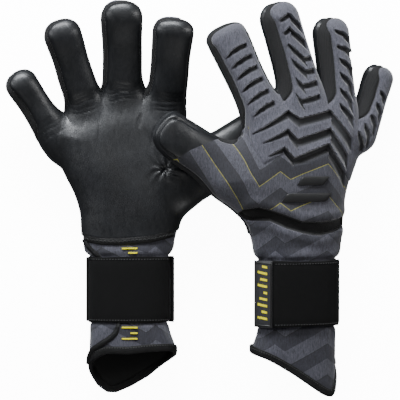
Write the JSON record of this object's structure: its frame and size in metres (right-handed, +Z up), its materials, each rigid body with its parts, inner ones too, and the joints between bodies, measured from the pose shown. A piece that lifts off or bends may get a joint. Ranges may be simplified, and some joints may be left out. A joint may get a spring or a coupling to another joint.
{
  "type": "pair of goalkeeper gloves",
  "caption": "Goalkeeper gloves with foam latex palms, ribbed knit backs, mesh finger sides, long cuffs and hook-and-loop wrist straps, laid palm up and palm down.",
  "frame": {"origin": "centre of the footprint of the pair, on the surface that it lies on", "axes": "+X to the right, +Y towards the fingertips, +Z up, out of the palm of the lower glove and the back of the upper one"},
  "size_m": [0.3476, 0.3622, 0.0764],
  "materials": {
    "latex": "smooth foam latex with a soft sheen",
    "knit": "heather grey knit with a zigzag print",
    "cuff_knit": "heather grey knit with a zigzag print",
    "mesh": "black air mesh",
    "elastic": "woven elastic",
    "strap": "brushed woven elastic",
    "binding": "stitched stretch tape",
    "hook_loop": "hook-and-loop tape",
    "lining": "thin jersey",
    "bar": "matte moulded rubber",
    "badge": "matte moulded rubber with a yellow pattern"
  },
  "bodies": {
    "palmup_hand": {"palmup_palm_latex": "latex", "palmup_palm_hem": "binding", "palmup_backhand": "knit", "palmup_palm_lining": "lining", "palmup_back_lining": "lining", "palmup_wrist_elastic": "elastic", "palmup_long_bar": "bar", "palmup_short_bar": "bar"},
    "palmup_cuff": {"palmup_cuff_sleeve": "cuff_knit", "palmup_cuff_hem": "binding", "palmup_strap_band": "strap", "palmup_loop_patch": "hook_loop"},
    "palmup_strap": {"palmup_strap_flap": "strap", "palmup_hook_patch": "hook_loop", "palmup_strap_badge": "badge"},
    "palmup_little": {"palmup_little_roll": "latex", "palmup_little_back": "knit", "palmup_little_gusset": "mesh"},
    "palmup_ring": {"palmup_ring_roll": "latex", "palmup_ring_back": "knit", "palmup_ring_gusset": "mesh"},
    "palmup_middle": {"palmup_middle_roll": "latex", "palmup_middle_back": "knit", "palmup_middle_gusset": "mesh"},
    "palmup_index": {"palmup_index_roll": "latex", "palmup_index_back": "knit", "palmup_index_gusset": "mesh"},
    "palmup_thumb": {"palmup_thumb_roll": "latex", "palmup_thumb_back": "knit", "palmup_thumb_gusset": "mesh"},
    "palmdown_hand": {"palmdown_palm_latex": "latex", "palmdown_palm_hem": "binding", "palmdown_backhand": "knit", "palmdown_palm_lining": "lining", "palmdown_back_lining": "lining", "palmdown_wrist_elastic": "elastic", "palmdown_long_bar": "bar", "palmdown_short_bar": "bar"},
    "palmdown_cuff": {"palmdown_cuff_sleeve": "cuff_knit", "palmdown_cuff_hem": "binding", "palmdown_strap_band": "strap", "palmdown_loop_patch": "hook_loop"},
    "palmdown_strap": {"palmdown_strap_flap": "strap", "palmdown_hook_patch": "hook_loop", "palmdown_strap_badge": "badge"},
    "palmdown_little": {"palmdown_little_roll": "latex", "palmdown_little_back": "knit", "palmdown_little_gusset": "mesh"},
    "palmdown_ring": {"palmdown_ring_roll": "latex", "palmdown_ring_back": "knit", "palmdown_ring_gusset": "mesh"},
    "palmdown_middle": {"palmdown_middle_roll": "latex", "palmdown_middle_back": "knit", "palmdown_middle_gusset": "mesh"},
    "palmdown_index": {"palmdown_index_roll": "latex", "palmdown_index_back": "knit", "palmdown_index_gusset": "mesh"},
    "palmdown_thumb": {"palmdown_thumb_roll": "latex", "palmdown_thumb_back": "knit", "palmdown_thumb_gusset": "mesh"}
  },
  "joints": [
    {"name": "palmdown_lift", "type": "slide", "parent": "palmup_hand", "child": "palmdown_hand", "axis": [0, 0, 1], "range_m": [0, 0.12]},
    {"name": "palmup_little_bend", "type": "hinge", "parent": "palmup_hand", "child": "palmup_little", "pos_m": [-0.13122, 0.0594, 0.0374], "axis": [0.8387, 0.5446, 0], "range_deg": [0, 65], "stiffness_Nm_per_rad": 0.05, "springref_deg": -17.19},
    {"name": "palmup_ring_bend", "type": "hinge", "parent": "palmup_hand", "child": "palmup_ring", "pos_m": [-0.10622, 0.0784, 0.0374], "axis": [0.9563, 0.2924, 0], "range_deg": [0, 65], "stiffness_Nm_per_rad": 0.05, "springref_deg": -17.19},
    {"name": "palmup_middle_bend", "type": "hinge", "parent": "palmup_hand", "child": "palmup_middle", "pos_m": [-0.07422, 0.0874, 0.0374], "axis": [1, 0, 0], "range_deg": [0, 65], "stiffness_Nm_per_rad": 0.05, "springref_deg": -17.19},
    {"name": "palmup_index_bend", "type": "hinge", "parent": "palmup_hand", "child": "palmup_index", "pos_m": [-0.03822, 0.0784, 0.0374], "axis": [0.9945, -0.1045, 0], "range_deg": [0, 65], "stiffness_Nm_per_rad": 0.05, "springref_deg": -17.19},
    {"name": "palmup_thumb_swing", "type": "hinge", "parent": "palmup_hand", "child": "palmup_thumb", "pos_m": [-0.01362, 0.03968, 0.0224], "axis": [0, 0, 1], "range_deg": [0, 10], "stiffness_Nm_per_rad": 0.15},
    {"name": "palmup_wrist_bend", "type": "hinge", "parent": "palmup_hand", "child": "palmup_cuff", "pos_m": [-0.06822, -0.0466, 0.0418], "axis": [-1, 0, 0], "range_deg": [0, 45], "stiffness_Nm_per_rad": 0.3, "springref_deg": -17.19},
    {"name": "palmup_strap_peel", "type": "hinge", "parent": "palmup_cuff", "child": "palmup_strap", "pos_m": [-0.10662, -0.0466, 0.01219], "axis": [0, 1, 0], "range_deg": [0, 120]},
    {"name": "palmdown_little_bend", "type": "hinge", "parent": "palmdown_hand", "child": "palmdown_little", "pos_m": [0.14028, 0.05872, 0.00647], "axis": [-0.9118, 0.3253, 0.2506], "range_deg": [0, 65], "stiffness_Nm_per_rad": 0.05, "springref_deg": -17.19},
    {"name": "palmdown_ring_bend", "type": "hinge", "parent": "palmdown_hand", "child": "palmdown_ring", "pos_m": [0.11602, 0.07725, 0.01383], "axis": [-0.9666, -0.1038, 0.2343], "range_deg": [0, 65], "stiffness_Nm_per_rad": 0.05, "springref_deg": -17.19},
    {"name": "palmdown_middle_bend", "type": "hinge", "parent": "palmdown_hand", "child": "palmdown_middle", "pos_m": [0.08497, 0.08569, 0.02218], "axis": [-0.9327, -0.2912, 0.2128], "range_deg": [0, 65], "stiffness_Nm_per_rad": 0.05, "springref_deg": -17.19},
    {"name": "palmdown_index_bend", "type": "hinge", "parent": "palmdown_hand", "child": "palmdown_index", "pos_m": [0.05004, 0.0761, 0.03024], "axis": [-0.8794, -0.4369, 0.1892], "range_deg": [0, 65], "stiffness_Nm_per_rad": 0.05, "springref_deg": -17.19},
    {"name": "palmdown_thumb_swing", "type": "hinge", "parent": "palmdown_hand", "child": "palmdown_thumb", "pos_m": [0.0298, 0.03605, 0.048], "axis": [-0.2419, 0.0677, -0.9679], "range_deg": [0, 10], "stiffness_Nm_per_rad": 0.15},
    {"name": "palmdown_wrist_bend", "type": "hinge", "parent": "palmdown_hand", "child": "palmdown_cuff", "pos_m": [0.07809, -0.04779, 0.01002], "axis": [0.9703, 0.0169, -0.2413], "range_deg": [0, 45], "stiffness_Nm_per_rad": 0.3, "springref_deg": -17.19},
    {"name": "palmdown_strap_peel", "type": "hinge", "parent": "palmdown_cuff", "child": "palmdown_strap", "pos_m": [0.12251, -0.04914, 0.02941], "axis": [0, 0.9976, 0.0698], "range_deg": [0, 120]}
  ]
}
